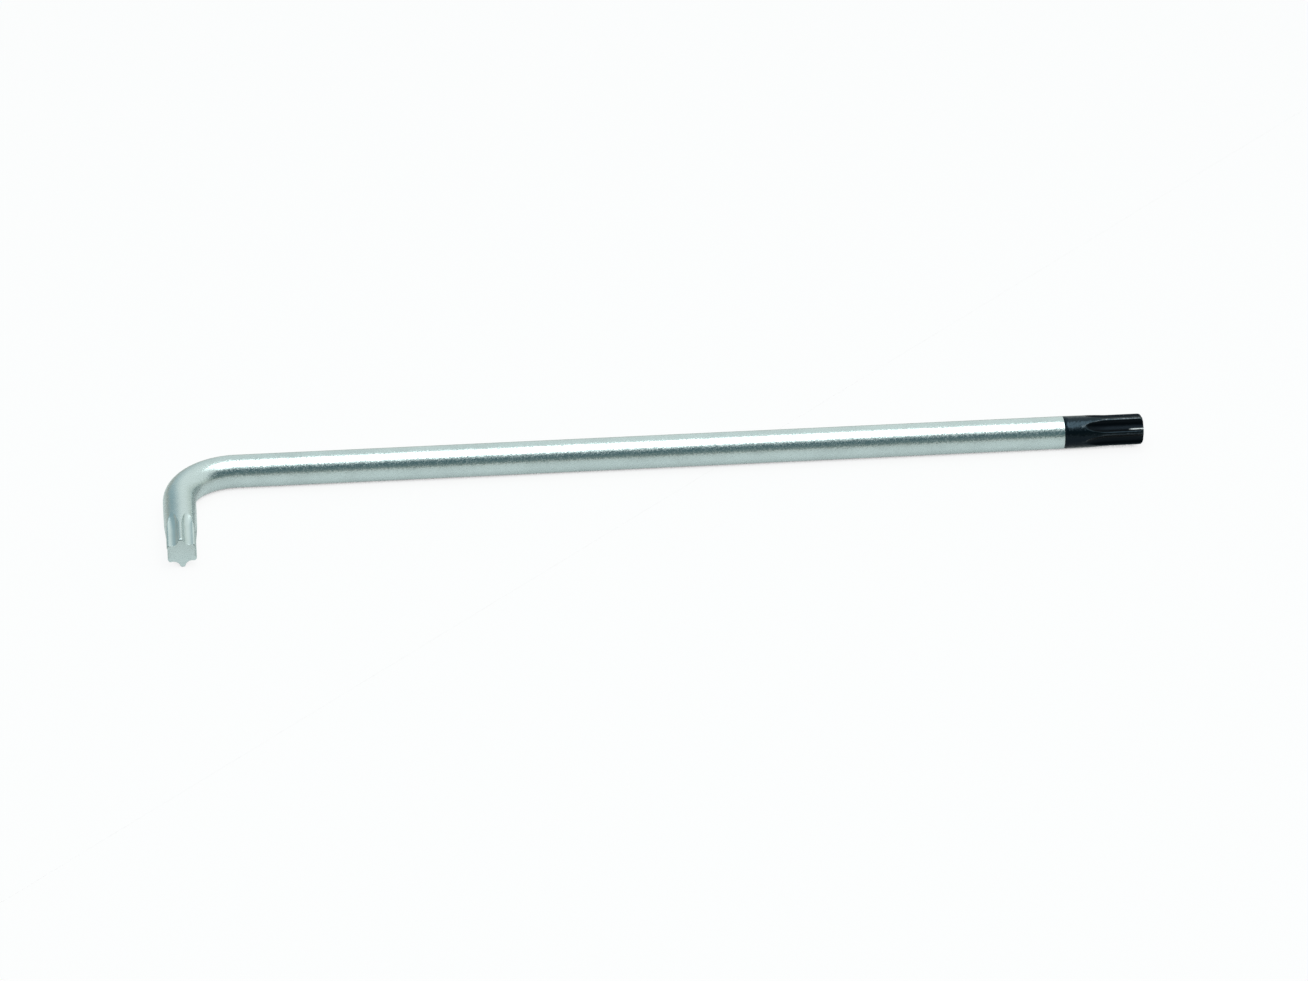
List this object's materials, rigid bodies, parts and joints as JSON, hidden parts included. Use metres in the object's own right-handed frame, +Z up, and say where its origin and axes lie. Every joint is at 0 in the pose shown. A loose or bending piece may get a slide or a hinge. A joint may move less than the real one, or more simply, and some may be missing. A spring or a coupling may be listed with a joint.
{
  "type": "star key",
  "caption": "L-shaped star key of round satin-chrome bar with a six-lobe star on each end, the long end finished in gloss black, for turning star-socket screws.",
  "frame": {"origin": "middle of the key's box, on the surface that the key lies flat on", "axes": "+X along the long arm towards its black tip, -Y along the short arm towards its tip, +Z up from the surface that the key lies on"},
  "size_m": [0.241, 0.042, 0.008],
  "materials": {
    "satin_chrome": "satin chrome plate",
    "black_finish": "gloss black"
  },
  "bodies": {
    "root": {"key_bar": "satin_chrome", "black_tip_coat": "black_finish"}
  },
  "joints": []
}
